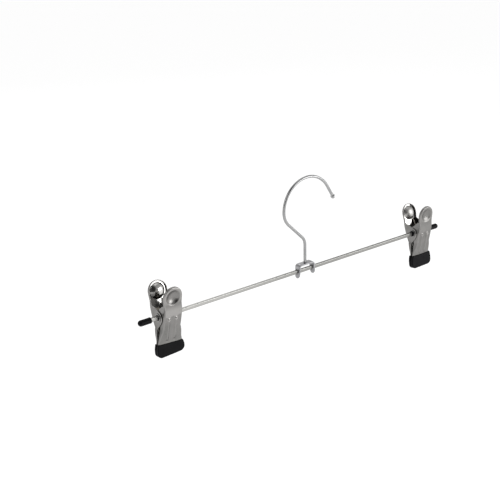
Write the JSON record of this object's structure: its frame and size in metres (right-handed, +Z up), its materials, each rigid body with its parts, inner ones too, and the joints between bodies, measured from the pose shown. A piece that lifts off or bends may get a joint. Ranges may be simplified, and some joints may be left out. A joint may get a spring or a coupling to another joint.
{
  "type": "skirt hanger",
  "caption": "Skirt hanger: swivelling wire hook and flat plated bar carrying sprung metal clips with padded jaws that slide to fit a waistband.",
  "frame": {"origin": "the highest point inside the hook's loop, where the rail carries the hanger", "axes": "+Z up, +X along the bar towards the side where the hook is open, +Y towards the back jaws"},
  "size_m": [0.31, 0.0254, 0.1072],
  "materials": {
    "plated_bar": "bright plated flat steel bar, fine drawn lines",
    "plated_wire": "bright plated round steel wire",
    "zinc_yoke": "dull plated strip",
    "pressed_steel": "satin plated sheet steel, pressed",
    "spring_wire": "plated spring wire",
    "black_vinyl": "dipped soft vinyl, slight sheen",
    "black_plastic": "moulded black plastic"
  },
  "bodies": {
    "hook_body": {"hook": "plated_wire"},
    "bar_body": {"bar": "plated_bar", "yoke": "zinc_yoke", "left_end_cap": "black_plastic", "right_end_cap": "black_plastic"},
    "left_carriage": {"left_pivot_sleeve": "plated_wire", "left_bush": "black_plastic"},
    "left_swing_body": {"left_spring": "spring_wire"},
    "left_front": {"left_front_jaw": "pressed_steel", "left_front_pad": "black_vinyl"},
    "left_back": {"left_back_jaw": "pressed_steel", "left_back_pad": "black_vinyl"},
    "right_carriage": {"right_pivot_sleeve": "plated_wire", "right_bush": "black_plastic"},
    "right_swing_body": {"right_spring": "spring_wire"},
    "right_front": {"right_front_jaw": "pressed_steel", "right_front_pad": "black_vinyl"},
    "right_back": {"right_back_jaw": "pressed_steel", "right_back_pad": "black_vinyl"}
  },
  "joints": [
    {"name": "hook_swivel", "type": "hinge", "parent": "hook_body", "child": "bar_body", "pos_m": [-0.003, 0, -0.0738], "axis": [0, 0, 1], "continuous": true},
    {"name": "left_slide", "type": "slide", "parent": "bar_body", "child": "left_carriage", "axis": [1, 0, 0], "range_m": [-0.0045, 0.1115]},
    {"name": "left_swing", "type": "hinge", "parent": "left_carriage", "child": "left_swing_body", "pos_m": [-0.134, 0, -0.0738], "axis": [1, 0, 0], "continuous": true},
    {"name": "left_front_open", "type": "hinge", "parent": "left_swing_body", "child": "left_front", "pos_m": [-0.134, 0, -0.0738], "axis": [-1, 0, 0], "range_deg": [0, 16], "stiffness_Nm_per_rad": 0.6, "deforming": ["left_spring"]},
    {"name": "left_back_open", "type": "hinge", "parent": "left_swing_body", "child": "left_back", "pos_m": [-0.134, 0, -0.0738], "axis": [1, 0, 0], "range_deg": [0, 16], "stiffness_Nm_per_rad": 0.6},
    {"name": "right_slide", "type": "slide", "parent": "bar_body", "child": "right_carriage", "axis": [1, 0, 0], "range_m": [-0.1115, 0.0045]},
    {"name": "right_swing", "type": "hinge", "parent": "right_carriage", "child": "right_swing_body", "pos_m": [0.128, 0, -0.0738], "axis": [1, 0, 0], "continuous": true},
    {"name": "right_front_open", "type": "hinge", "parent": "right_swing_body", "child": "right_front", "pos_m": [0.128, 0, -0.0738], "axis": [-1, 0, 0], "range_deg": [0, 16], "stiffness_Nm_per_rad": 0.6, "deforming": ["right_spring"]},
    {"name": "right_back_open", "type": "hinge", "parent": "right_swing_body", "child": "right_back", "pos_m": [0.128, 0, -0.0738], "axis": [1, 0, 0], "range_deg": [0, 16], "stiffness_Nm_per_rad": 0.6}
  ],
  "couplings": [
    {"joint": "left_back_open", "follows": "left_front_open", "ratio": 1},
    {"joint": "right_back_open", "follows": "right_front_open", "ratio": 1}
  ]
}
